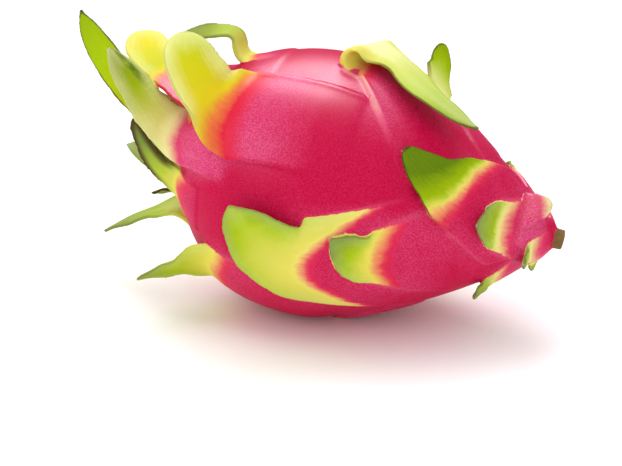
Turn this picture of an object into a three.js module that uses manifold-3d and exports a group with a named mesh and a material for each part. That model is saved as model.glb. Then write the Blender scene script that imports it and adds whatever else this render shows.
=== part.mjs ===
// Dragon fruit (pitaya), ripe and picked, lying on its side.
//
// A plump body tapers to the cut stem at one end and closes round a shallow navel, the crown, at the
// other. Whorls of fleshy scales grow from its skin. Each scale starts as a pad that is part of the
// rind, raised at its margins, and runs out toward the crown as a free blade: short round the stem,
// long and strap-like round the crown, where they stand up in a tuft.
//
// Millimetres, +Z up. The crown end points to -X and is raised by TILT, the front is -Y, and the
// origin is on the surface that the fruit lies on. The fruit has grown as one, so it is one mesh.
import * as THREE from 'three';
import { mergeVertices } from 'three/addons/utils/BufferGeometryUtils.js';
import Module from 'manifold-3d';

const wasm = await Module();
wasm.setup();

// ---- driving dimensions -----------------------------------------------------------------------

// the body: stations are measured along its axis from the stem end toward the crown
const LENGTH = 134;
const RADIUS = 46; // at its widest
const WIDEST = 82; // station of the widest ring
const STEM_TAPER = [1.5, 0.9]; // shape of the taper to the stem end: its power and its fullness
const CROWN_ROUND = [2.4, 0.5]; // shape of the round to the crown end
const NAVEL_STATION = 132; // where the skin turns in to the navel
const NAVEL_DEPTH = 6;
const STUB_RADIUS = 3.4; // the cut stem
const STUB_OUT = 0.3; // how far it stands out of the stem end
const STUB_IN = 12; // how deep it sits in the body
const RINGS = 18; // rings of the body's mesh
const SEGMENTS = 36; // steps round it

// how it lies
const TILT = 7.5; // degrees, crown end up
const SINK = 0.8; // the body rests this deep on a flattened spot
const OVER_ORIGIN = [88.1, 1.38]; // station over the origin, and how far the axis lies to the front of it

// scales: the pad
const ROOT_RISE = 0.05; // share of a pad's rise that it has at its root
const EDGE_DROP = 0.45; // share of the rise that is lost at its margins
const ROOT_SINK = 1.5; // the root's far end lies this deep under the skin
const BURIED = 3; // the pad's underside lies this deep under the skin
const WIDEST_PAD = 62; // degrees round the body, each way

// scales: the blade
const SETTLED = 0.35; // share of the blade by which it has taken its own direction
const LEAN_SETTLED = 0.5; // and its sideways lean
const TIP_WIDTH = 0.06; // of the root's width
const FIRM_ROOT = 0.12; // share of the blade that thickens into the rind
const CUPPED = 0.25; // share of the blade over which the body's roundness gives way to its own

// a scale's shape where its whorl or its own entry doesn't say otherwise
const USUAL = {
  pad: 30, // length of the attached pad
  flare: 0.5, // how much wider the pad is at its root than where the blade leaves it
  rise: 2.2, // how far the pad stands off the body
  out: 8, // angle from the fruit's axis that the blade settles to, degrees
  curl: 20, // further outward bend by the tip, degrees
  folds: [], // sharper bends: [middle, half length] as shares of the blade, and degrees
  skew: 0, // slant of those bends across the blade, degrees
  lean: 0, // sideways lean, degrees
  sway: 0, // further lean by the tip, degrees
  twist: 0, // turn about its own length by the tip, degrees
  cup: 1, // roundness across the blade near its root, 1 for the body's own
  cupEnd: 0.3, // and past its middle
  strap: 1, // width past the neck, as a share of the root's
  neck: 0.5, // share of the blade by which it has narrowed to that
  blunt: 2, // outline of the tip: higher is blunter
  point: 0.8, // lower is rounder
  thick: 2.6, // at the root
  thin: 1.2, // at the tip
  wave: 0.6, // height of the waves of its margins
  waves: 2.5, // how many along it
  phase: 0,
};

// whorls from the stem end to the crown; station is where the blades leave the skin, turn is degrees
// round the body from its top to its front, and rows, cells and across are the scale's mesh
const WHORLS = [
  { name: 'stem_tip', station: 8, first: 24, count: 4, reach: 7, width: 11, pad: 6, out: 75,
    thick: 1.8, flare: 0.4, rows: 2, cells: 4, across: 4 },
  { name: 'stem', station: 20, first: -18, count: 4, reach: 11, width: 17, pad: 16, out: 50, curl: 10,
    thick: 2.2, flare: 1, rows: 3, cells: 4, across: 4 },
  { name: 'low', station: 40, first: 52, count: 4, reach: 20, width: 24, pad: 28, out: 30, curl: 10,
    flare: 1.4, rows: 4, cells: 6, across: 6 },
  { name: 'belly', station: 78, first: 9, count: 4, reach: 28, width: 32, pad: 42, out: 12,
    flare: 1.4, rows: 5, cells: 7, across: 6 },
  { name: 'shoulder', station: 110, first: 55, count: 4, reach: 38, width: 36, pad: 46, out: 35,
    flare: 0.4, strap: 0.5, neck: 0.6, rows: 5, cells: 8, across: 6 },
  { name: 'crown', station: 124, first: 10, count: 4, reach: 46, width: 26, pad: 20, out: 25, curl: 15,
    strap: 0.7, rows: 3, cells: 8, across: 6 },
  { name: 'heart', station: 129, first: 55, count: 4, reach: 46, width: 20, pad: 12, out: 10,
    rows: 2, cells: 8, across: 4 },
  { name: 'navel', station: 131, first: 5, count: 5, reach: 13, width: 9, pad: 5, out: 8, curl: 25,
    thick: 1.8, rise: 1.2, rows: 2, cells: 4, across: 4 },
];

// scales with a habit of their own
const OWN = {
  // bent back toward the stem
  stem_tip_0: { turn: 43, station: 12, reach: 11.5, width: 19.5, out: 140, curl: 42, lean: -18,
    sway: 12, twist: 42, strap: 0.65, blunt: 1.5, point: 0.5, cup: 0.2, cupEnd: -0.9 },
  stem_0: { turn: -60, station: 22, reach: 9, out: 38, curl: 0 },
  low_0: { turn: 54, station: 31.5, reach: 26, width: 29, flare: 1.1, out: 36, curl: -17, lean: -12,
    sway: -24, twist: 9, strap: 0.7, neck: 0.7, blunt: 1.5, point: 0.5, cup: 0.65, cupEnd: 0.75 },
  low_1: { turn: 100, station: 54.5, reach: 17, width: 20, flare: 1.2, out: 24, curl: 4, lean: -36,
    twist: 0, blunt: 1.5, cup: -0.25 },
  // a narrow one that stands up at the back
  low_3: { turn: -27, station: 51, reach: 23.5, width: 20, flare: 1, out: 70, curl: 16, lean: -51,
    sway: 73, twist: -45, strap: 0.56, neck: 0.8, blunt: 3.3, point: 0.45, cup: -0.5, cupEnd: -1 },
  // folded back over its own pad
  belly_0: { turn: -3, station: 74, reach: 55, width: 28, flare: 3, rise: 1.4, out: 20, curl: 10,
    folds: [[0.075, 0.075, 176]], skew: 14, lean: 47, sway: -59, twist: 6.5, strap: 0.52, neck: 0.4,
    blunt: 6, point: 1.1, cup: -1.2, cupEnd: -1.5, thick: 2, cells: 13 },
  belly_1: { turn: 106, station: 74.5, reach: 34, width: 35, flare: 0.55, out: 6, curl: -10, lean: -42,
    sway: -10, twist: 0, strap: 0.88, blunt: 2.6, point: 0.7 },
  // pressed flat by the fruit's weight
  belly_2: { turn: 190, station: 76, reach: 20, out: -2, curl: 0, lean: 0 },
  // the broad bract in front, its rounded end turned in
  shoulder_0: { turn: 46, station: 106.5, reach: 36, width: 33.5, flare: 0, out: 62, curl: -64,
    lean: -18, sway: -62, twist: 4, strap: 0.7, neck: 0.4, blunt: 2.7, point: 0.46, cup: -0.5,
    cupEnd: -0.85 },
  shoulder_1: { turn: 140, reach: 30, out: 15 },
  // a narrow one that arches over to the crown
  shoulder_3: { turn: 4.5, station: 112, reach: 33, width: 9, flare: 1, out: 131, curl: -6,
    folds: [[0.35, 0.21, -141]], lean: 7, sway: 32, twist: -82, strap: 0.52, neck: 0.4, blunt: 8,
    cup: -0.5, cupEnd: -1, cells: 11 },
  crown_0: { turn: 20, station: 119, reach: 59, width: 32, out: 4, curl: -26, lean: -21, sway: -53,
    twist: 14, strap: 0.55, neck: 0.4, blunt: 8, point: 0.45, cup: -0.5, cupEnd: -0.43 },
  crown_1: { turn: 56, station: 124.5, reach: 45, width: 24.5, out: 22, curl: 17, lean: -36, sway: 2,
    twist: 45, strap: 0.66, neck: 0.31, blunt: 8, point: 0.6, cup: 0.9, cupEnd: 0.45 },
  // the longest, upright at the edge of the tuft
  heart_0: { turn: 50, station: 124.5, reach: 70, width: 21, out: 16, curl: -18, lean: -28, sway: -22,
    twist: -19, strap: 0.53, neck: 0.4, blunt: 8, point: 1, cup: 0.7, cupEnd: 0.25 },
  heart_1: { turn: 101, station: 127, reach: 32, width: 12, out: -2, curl: 5, lean: -43, sway: -37,
    twist: 3, strap: 0.8, blunt: 1.5, point: 0.45, cup: 0.7, cupEnd: 0.7 },
};

// ---- helpers ----------------------------------------------------------------------------------

const radians = THREE.MathUtils.degToRad;
const smooth = (from, to, x) => THREE.MathUtils.smoothstep(x, from, to);

/** A number from 0 to 1 that is always the same for the same key. */
function draw(key) {
  const x = Math.sin(key) * 43758.5453;
  return x - Math.floor(x);
}

// ---- the fruit's own frame --------------------------------------------------------------------

const AXIS = new THREE.Vector3(-Math.cos(radians(TILT)), 0, Math.sin(radians(TILT)));
const UP = new THREE.Vector3(Math.sin(radians(TILT)), 0, Math.cos(radians(TILT)));
const FRONT = new THREE.Vector3(0, -1, 0);

function bodyRadius(station) {
  if (station < WIDEST) {
    const s = Math.max(station, 0) / WIDEST;
    return RADIUS * (1 - (1 - s) ** STEM_TAPER[0]) ** STEM_TAPER[1];
  }
  const t = Math.min((station - WIDEST) / (LENGTH - WIDEST), 1);
  return RADIUS * (1 - t ** CROWN_ROUND[0]) ** CROWN_ROUND[1];
}

/** Rise of the body's outline per millimetre along the axis. */
function bodySlope(station) {
  const x = THREE.MathUtils.clamp(station, 1, LENGTH - 1);
  return (bodyRadius(x + 0.25) - bodyRadius(x - 0.25)) / 0.5;
}

// height of the axis over the origin, from the body's lowest point
const lowest = Math.max(
  ...Array.from({ length: LENGTH }, (_, a) =>
    bodyRadius(a) * UP.z - (a - OVER_ORIGIN[0]) * AXIS.z),
);
const CENTRE = new THREE.Vector3(0, -OVER_ORIGIN[1], lowest - SINK);

/** Outward from the axis, at an angle from the top to the front. */
function outward(turn) {
  return UP.clone().multiplyScalar(Math.cos(turn)).addScaledVector(FRONT, Math.sin(turn));
}

/** A point over the skin: station, turn in radians, and its height along the skin's normal. */
function overSkin(station, turn, height) {
  const slope = bodySlope(station);
  const unit = 1 / Math.hypot(1, slope);
  return CENTRE.clone()
    .addScaledVector(AXIS, station - OVER_ORIGIN[0] - height * slope * unit)
    .addScaledVector(outward(turn), bodyRadius(station) + height * unit);
}

// ---- the body ---------------------------------------------------------------------------------

/** Turns a profile of [radius, station] about the fruit's axis. */
function turned(profile, segments) {
  const points = profile.map(([radius, station]) => new THREE.Vector2(radius, station - OVER_ORIGIN[0]));
  const geometry = new THREE.LatheGeometry(points, segments);
  geometry.rotateZ(Math.PI / 2);
  geometry.rotateY(radians(TILT));
  geometry.translate(CENTRE.x, CENTRE.y, CENTRE.z);
  return geometry;
}

function bodyGeometry() {
  const profile = [[0, 0]];
  for (let i = 1; i <= RINGS; i++) {
    // the rings lie closer together toward both ends
    const station = (NAVEL_STATION / 2) * (1 - Math.cos((Math.PI * i) / RINGS));
    profile.push([bodyRadius(station), station]);
  }
  const rim = bodyRadius(NAVEL_STATION);
  for (const x of [0.8, 0.4, 0]) {
    profile.push([rim * x, NAVEL_STATION - NAVEL_DEPTH * (1 - x * x)]);
  }
  return turned(profile, SEGMENTS);
}

function stubGeometry() {
  const outer = -STUB_OUT;
  return turned([[0, outer], [STUB_RADIUS, outer], [STUB_RADIUS, STUB_IN], [0, STUB_IN]], 12);
}

// ---- the scales -------------------------------------------------------------------------------

/** One scale as two grids of points, its outer side and its inner side, from root to tip. */
function scaleGrids(scale) {
  const across = Array.from({ length: scale.across + 1 }, (_, j) => (2 * j) / scale.across - 1);
  const pad = Math.min(scale.pad, scale.station - 2);
  const turn = radians(scale.turn);
  const outer = [];
  const inner = [];

  for (let i = 0; i <= scale.rows; i++) {
    const u = i / scale.rows;
    const station = scale.station - pad * (1 - u);
    const half = (scale.width / 2) * (1 + scale.flare * (1 - u));
    const angle = Math.min(half / Math.max(bodyRadius(station), 3), radians(WIDEST_PAD));
    const grown = smooth(0, 0.22, u);
    const full = grown * scale.rise * (ROOT_RISE + (1 - ROOT_RISE) * u);
    outer.push(across.map((v) =>
      overSkin(station, turn + v * angle, full * (1 - EDGE_DROP * v * v) - ROOT_SINK * (1 - grown))));
    inner.push(across.map((v) => overSkin(station, turn + v * angle * 0.97, -BURIED)));
  }

  // the blade starts along the skin and carries the pad's last row on as its section
  const radial = outward(turn);
  const side = outward(turn + Math.PI / 2);
  const slope = bodySlope(scale.station);
  const start = Math.atan(slope);
  const along = AXIS.clone().multiplyScalar(Math.cos(start)).addScaledVector(radial, Math.sin(start));
  const normal = AXIS.clone().multiplyScalar(-Math.sin(start)).addScaledVector(radial, Math.cos(start));
  const spine = overSkin(scale.station, turn, scale.rise);
  const section = outer[outer.length - 1].map((point) => {
    const offset = point.clone().sub(spine);
    return [offset.dot(side), offset.dot(normal), offset.dot(along)];
  });

  // the blade bends about a crease that may lie askew of it
  const skew = radians(scale.skew);
  const outright = AXIS.clone().multiplyScalar(Math.cos(skew)).addScaledVector(side, -Math.sin(skew));
  const crease = side.clone().multiplyScalar(Math.cos(skew)).addScaledVector(AXIS, Math.sin(skew));

  // rows are shared out by length and by bending, so that a fold gets more of them
  const STEPS = 96;
  const bendAt = (t) => THREE.MathUtils.radToDeg(start) * (1 - smooth(0, SETTLED, t))
    + scale.out * smooth(0, SETTLED, t) + scale.curl * t ** 1.6
    + scale.folds.reduce((sum, [mid, half, turnBy]) => sum + turnBy * smooth(mid - half, mid + half, t), 0);
  const cost = [0];
  for (let k = 1; k <= STEPS; k++) {
    cost.push(cost[k - 1] + 1 / STEPS + Math.abs(bendAt(k / STEPS) - bendAt((k - 1) / STEPS)) / 150);
  }
  let row = 1;
  for (let k = 1; k <= STEPS; k++) {
    const t = k / STEPS;
    const bend = radians(bendAt(t));
    const lean = skew * Math.cos(bend)
      + radians(scale.lean * smooth(0, LEAN_SETTLED, t) + scale.sway * t * t);
    const ahead = outright.clone().multiplyScalar(Math.cos(bend)).addScaledVector(radial, Math.sin(bend));
    const away = outright.clone().multiplyScalar(-Math.sin(bend)).addScaledVector(radial, Math.cos(bend));
    const tangent = ahead.clone().multiplyScalar(Math.cos(lean)).addScaledVector(crease, Math.sin(lean));
    const level = ahead.clone().multiplyScalar(-Math.sin(lean)).addScaledVector(crease, Math.cos(lean));
    spine.addScaledVector(tangent, scale.reach / STEPS);
    if (cost[k] < (cost[STEPS] * row) / scale.cells - 1e-9) continue;
    row++;

    const twist = radians(scale.twist * t);
    const wide = level.clone().multiplyScalar(Math.cos(twist)).addScaledVector(away, Math.sin(twist));
    const high = level.clone().multiplyScalar(-Math.sin(twist)).addScaledVector(away, Math.cos(twist));
    const tip = Math.max((1 - t ** scale.blunt) ** scale.point, TIP_WIDTH);
    const width = tip * (scale.strap + (1 - scale.strap) * (1 - smooth(0, scale.neck, t)));
    const cup = 1 + (scale.cup - 1) * smooth(0, CUPPED, t)
      + (scale.cupEnd - scale.cup) * smooth(0, 0.7, t);
    const wave = scale.wave * smooth(0.05, 0.4, t) * (1 - 0.5 * t);
    const x = section.map(([q]) => q * width);
    const y = section.map(([, q], j) => {
      const v = across[j];
      const turnOf = 2 * Math.PI * scale.waves * t + scale.phase + (v > 0 ? 2.1 : 0);
      return q * width * width * cup + wave * v * v * Math.sin(turnOf);
    });
    const firm = BURIED * (1 - smooth(0, FIRM_ROOT, t));
    outer.push(across.map((_, j) => spine.clone().addScaledVector(wide, x[j])
      .addScaledVector(high, y[j]).addScaledVector(tangent, section[j][2] * (1 - t) ** 2)));
    inner.push(across.map((v, j) => {
      const before = Math.max(j - 1, 0);
      const after = Math.min(j + 1, scale.across);
      const run = x[after] - x[before];
      const climb = y[after] - y[before];
      const depth = (scale.thick + (scale.thin - scale.thick) * t) * (1 - 0.45 * Math.abs(v) ** 3) + firm;
      const unit = depth / Math.hypot(run, climb);
      return outer[outer.length - 1][j].clone()
        .addScaledVector(wide, climb * unit).addScaledVector(high, -run * unit);
    }));
  }
  return [outer, inner];
}

/** The closed skin over a scale's two grids, split into the same triangles on both sides. */
function scaleGeometry(scale) {
  const [outer, inner] = scaleGrids(scale);
  const rows = outer.length;
  const columns = outer[0].length;
  const points = [...outer.flat(), ...inner.flat()];
  const at = (i, j) => i * columns + j;
  const far = rows * columns;
  const index = [];
  for (let i = 0; i < rows - 1; i++) {
    for (let j = 0; j < columns - 1; j++) {
      const [a, b, c, d] = [at(i, j), at(i + 1, j), at(i + 1, j + 1), at(i, j + 1)];
      index.push(a, b, c, a, c, d);
      index.push(far + a, far + c, far + b, far + a, far + d, far + c);
    }
  }
  const rim = [];
  for (let i = 0; i < rows; i++) rim.push(at(i, 0));
  for (let j = 1; j < columns; j++) rim.push(at(rows - 1, j));
  for (let i = rows - 2; i >= 0; i--) rim.push(at(i, columns - 1));
  for (let j = columns - 2; j > 0; j--) rim.push(at(0, j));
  rim.forEach((a, n) => {
    const b = rim[(n + 1) % rim.length];
    index.push(a, far + b, b, a, far + a, far + b);
  });
  const geometry = new THREE.BufferGeometry().setFromPoints(points);
  geometry.setIndex(index);
  return geometry;
}

/** Every scale of every whorl, with the small differences that growing gives them. */
function allScales() {
  return WHORLS.flatMap((whorl, w) => Array.from({ length: whorl.count }, (_, k) => {
    const key = 10 * w + k + 1;
    return {
      ...USUAL,
      ...whorl,
      turn: whorl.first + (360 * k) / whorl.count + 10 * (draw(key) - 0.5),
      station: whorl.station + 3 * (draw(key + 0.1) - 0.5) * Math.min(1, whorl.pad / 20),
      reach: whorl.reach * (0.9 + 0.2 * draw(key + 0.2)),
      phase: 2 * Math.PI * draw(key + 0.3),
      twist: 30 * (draw(key + 0.4) - 0.5),
      lean: 20 * (draw(key + 0.5) - 0.5),
      ...OWN[`${whorl.name}_${k}`],
    };
  }));
}

// ---- joining ----------------------------------------------------------------------------------

/** A closed geometry as a solid. */
function solid(geometry) {
  const merged = geometry.clone();
  merged.deleteAttribute('normal');
  merged.deleteAttribute('uv');
  const welded = mergeVertices(merged, 1e-3);
  const triangles = [];
  const index = welded.index.array;
  for (let i = 0; i < index.length; i += 3) {
    const [a, b, c] = [index[i], index[i + 1], index[i + 2]];
    if (a !== b && b !== c && c !== a) triangles.push(a, b, c);
  }
  return new wasm.Manifold(new wasm.Mesh({
    numProp: 3,
    vertProperties: new Float32Array(welded.getAttribute('position').array),
    triVerts: new Uint32Array(triangles),
  }));
}

/** The outer skin of a solid as a geometry: hollows that joining sealed in are filled. */
function outerSkin(manifold) {
  const mesh = manifold.getMesh();
  const corners = mesh.triVerts;
  const parent = Uint32Array.from({ length: mesh.vertProperties.length / 3 }, (_, i) => i);
  const find = (i) => {
    while (parent[i] !== i) i = parent[i] = parent[parent[i]];
    return i;
  };
  for (let i = 0; i < corners.length; i += 3) {
    parent[find(corners[i])] = find(corners[i + 1]);
    parent[find(corners[i + 1])] = find(corners[i + 2]);
  }
  const shells = new Map();
  for (let i = 0; i < corners.length; i += 3) {
    const root = find(corners[i]);
    if (!shells.has(root)) shells.set(root, []);
    shells.get(root).push(corners[i], corners[i + 1], corners[i + 2]);
  }
  const largest = [...shells.values()].reduce((a, b) => (b.length > a.length ? b : a));
  const geometry = new THREE.BufferGeometry();
  geometry.setAttribute('position', new THREE.BufferAttribute(new Float32Array(mesh.vertProperties), 3));
  geometry.setIndex(largest);
  const welded = mergeVertices(geometry, 1e-5);
  welded.computeVertexNormals();
  return welded;
}

// everything below the surface that the fruit lies on is pressed flat
const UNDER = 40;
const floor = new THREE.BoxGeometry(4 * LENGTH, 4 * RADIUS, UNDER);
floor.translate(0, 0, -UNDER / 2);

let fruit = solid(bodyGeometry()).add(solid(stubGeometry()));
for (const scale of allScales()) fruit = fruit.add(solid(scaleGeometry(scale)));
fruit = fruit.subtract(solid(floor));

// ---- the part ---------------------------------------------------------------------------------

const skin = new THREE.MeshStandardMaterial({ color: 0xd81e5b, roughness: 0.42, metalness: 0 });
const mesh = new THREE.Mesh(outerSkin(fruit), skin);
mesh.name = 'dragon_fruit';

const part = new THREE.Group();
part.add(mesh);

export default part;
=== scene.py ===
"""Grows a whole dragon fruit over its solid model and sets it on a pale floor in soft light.

The body, the whorls of scales and the navel follow the solid's own dimensions in millimetres. Their
closed skins are fused into one rind, which replaces the solid, and every point of the rind carries
how it has grown: how far along its scale it lies, how far across, how far from the margin.
"""

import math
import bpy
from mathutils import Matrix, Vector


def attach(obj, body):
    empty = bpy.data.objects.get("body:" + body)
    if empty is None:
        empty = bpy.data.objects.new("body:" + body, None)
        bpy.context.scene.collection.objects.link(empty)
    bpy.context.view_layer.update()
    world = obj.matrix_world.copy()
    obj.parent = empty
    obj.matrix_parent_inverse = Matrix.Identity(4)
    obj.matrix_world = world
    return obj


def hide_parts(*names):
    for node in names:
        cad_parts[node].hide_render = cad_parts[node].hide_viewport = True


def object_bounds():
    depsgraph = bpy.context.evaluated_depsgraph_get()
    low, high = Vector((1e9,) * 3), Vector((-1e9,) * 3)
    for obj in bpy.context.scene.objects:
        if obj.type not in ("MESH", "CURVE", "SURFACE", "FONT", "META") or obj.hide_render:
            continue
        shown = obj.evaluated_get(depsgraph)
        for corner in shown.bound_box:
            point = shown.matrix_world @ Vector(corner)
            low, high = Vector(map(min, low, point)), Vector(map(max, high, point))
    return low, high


bl_info = {
    "name": "Dragon Fruit",
    "version": (1, 0, 0),
    "blender": (4, 5, 0),
    "location": "3D Viewport > Sidebar > Dragon Fruit",
    "description": "A dragon fruit with fleshy scales, its rind and a small studio",
    "category": "Add Mesh",
}

from functools import reduce
from operator import add
from types import SimpleNamespace

import bmesh
import bpy
import numpy as np
from bpy.props import FloatProperty, FloatVectorProperty, IntProperty, PointerProperty
from mathutils import Matrix, Vector
from mathutils.bvhtree import BVHTree
from mathutils.kdtree import KDTree

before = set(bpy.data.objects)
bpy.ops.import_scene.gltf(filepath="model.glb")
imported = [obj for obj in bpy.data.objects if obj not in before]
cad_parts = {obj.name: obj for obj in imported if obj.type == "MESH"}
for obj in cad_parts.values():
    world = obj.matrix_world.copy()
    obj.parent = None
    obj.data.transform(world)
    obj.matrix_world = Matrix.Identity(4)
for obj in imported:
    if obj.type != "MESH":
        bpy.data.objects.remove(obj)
CAD_LOW, CAD_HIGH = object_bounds()
NODE = "dragon_fruit"
MM = 0.001

# ---- the body: stations along its axis from the stem end toward the crown, in millimetres ----

STEM_TAPER = (1.5, 0.9)  # the taper's power and its fullness
CROWN_ROUND = (2.4, 0.5)  # and the round's
NAVEL_STATION = 132  # where the skin turns in to the navel
NAVEL_DEPTH = 6
NAVEL_LIP = 0.95  # share of the rim's radius at which the hollow starts
STUB_RADIUS, STUB_OUT, STUB_IN = 3.4, 0.3, 12  # the cut stem, out of the skin and into the body
SINK = 0.8  # the body rests this deep on a flattened spot
OVER_ORIGIN = (88.1, 1.38)  # station over the origin, and how far in front of it the axis lies
BODY_RINGS, NAVEL_RINGS = 150, 20
BODY_SEGMENTS, STUB_SEGMENTS = 200, 48
SLOPE_STEP = 0.25  # how far to either side the outline's slope is measured

# ---- the scales: pads that run out into free blades ----

# the pad
ROOT_RISE = 0.05  # share of a pad's rise that it has at its root
RISEN = 0.22  # share of its length over which it comes out of the skin
EDGE_DROP = 0.45  # share of the rise that is lost at its margins
LIP_HEIGHT, LIP_PLACE, LIP_WIDTH = 0.35, 0.93, 0.06  # its raised margins
ROOT_SINK = 1.5  # the root's far end lies this deep under the skin
BURIED = 3  # and the pad's underside this deep
UNDERSIDE = 0.97  # its width, as a share of the pad's
WIDEST_PAD = math.radians(62)  # each way round the body
LEAST_RING = 3  # the smallest radius that a pad's width is bent round
STEM_CLEAR = 2  # pads start no nearer to the stem end

# the blade
SETTLED = 0.35  # share of it by which it has taken its own direction
LEAN_SETTLED = 0.5  # and its sideways lean
CURL_POWER = 1.6  # how late its curl sets in
TIP_WIDTH = 0.06  # of the root's width
FIRM_ROOT = 0.12  # share of it that thickens into the rind
CUPPED = 0.25  # share of it over which the body's roundness gives way to its own
CUP_ENDS = 0.7  # and by which that is the tip's
THIN_EDGE = 0.45  # share of its thickness that is lost at its margins
WAVE_GROWS, WAVE_FADES = (0.05, 0.4), 0.5  # where its waves set in, and their loss by the tip
WAVE_SHIFT = 2.1  # radians between the waves of its two margins
NICKS = ((0.25, 2.9), (0.15, 6.1))  # notches in its margins: depth, and how many to a wave
NICKED, NICK_POWER = (0.1, 0.3), 8  # where they set in, and how near the edge they stay
TIP_LENGTH = 0.7  # how much a millimetre along it counts as distance from its edge

# their meshes
PAD_ROWS, BLADE_ROWS, CELLS = 26, 54, 26
FINE_STEPS = 216  # steps along a blade, of which BLADE_ROWS are kept
TURN_COST = 150  # degrees of bend that get as many rows as the blade's whole length
ROUNDING, TINY = 1e-9, 1e-30
MARGIN_POINTS, MARGIN_END = 160, 0.12  # along a pad's margins, to this share of its blade

# how far scales of the same whorl differ, in degrees, millimetres and a share of the reach
DIFFERENCES = dict(turn=10, station=3, reach=0.2, twist=30, lean=20)
FULL_PAD = 20  # the shortest pad whose station differs fully
SCATTER = 43758.5453  # large, so that the digits after the point look random

# a scale where its whorl or its own entry doesn't say otherwise
USUAL = dict(
    # the pad's length, flare and rise; the angle that the blade settles to, its curl, its folds
    # (middle, half length, degrees) and their skew, its lean, sway and twist, its roundness near
    # the root and by the tip, its width past the neck, the neck's place, how blunt and how pointed
    # its tip is, its thickness at both ends and its waves; and how many scales a whorl has
    pad=30, flare=0.5, rise=2.2, out=8, curl=20, folds=(), skew=0, lean=0, sway=0, twist=0,
    cup=1, cup_end=0.3, strap=1, neck=0.5, blunt=2, point=0.8, thick=2.6, thin=1.2,
    wave=0.6, waves=2.5, phase=0, count=4,
    # colour: how far from the root, in millimetres, the yellow sets in and the green is full, over
    # how many the skin changes, how far both margins and one of them are ahead, how green the
    # yellow is, how warm the change, how much pinker the pad turns (partly bloom, partly painted
    # sheen), how pale the inner side and the margins, how dark the tip's stain, how dry and wide
    # the edge, and how and from where pads' margins show
    yellow=0, green=34, change=12, lead=4, slant=0, unripe=0, warm=0.8, flush=0.35, pale=0.5,
    fringe=0.2, stain=0, dry=0.3, rim=0.5, ridges=(0.5, 0.5), ridge_from=-0.85,
)

WHORLS = [
    dict(name="stem_tip", station=8, first=24, reach=7, width=11, pad=6, out=75,
         thick=1.8, flare=0.4, yellow=1, green=8, change=8, unripe=0.2, lead=1, warm=0.4),
    dict(name="stem", station=20, first=-18, reach=11, width=17, pad=16, out=50, curl=10,
         thick=2.2, flare=1, green=15, change=9, unripe=0.3, lead=2, warm=0.5),
    dict(name="low", station=40, first=52, reach=20, width=24, pad=28, out=30, curl=10,
         flare=1.4, green=16),
    dict(name="belly", station=78, first=9, reach=28, width=32, pad=42, out=12,
         flare=1.4, green=22, lead=6),
    dict(name="shoulder", station=110, first=55, reach=38, width=36, pad=46, out=35,
         flare=0.4, strap=0.5, neck=0.6),
    dict(name="crown", station=124, first=10, reach=46, width=26, pad=20, out=25, curl=15,
         strap=0.7, yellow=2, green=40),
    dict(name="heart", station=129, first=55, reach=46, width=20, pad=12, out=10,
         yellow=2, green=24),
    dict(name="navel", station=131, first=5, count=5, reach=13, width=9, pad=5, curl=25,
         thick=1.8, rise=1.2, yellow=1, green=9, dry=1),
]

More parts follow.
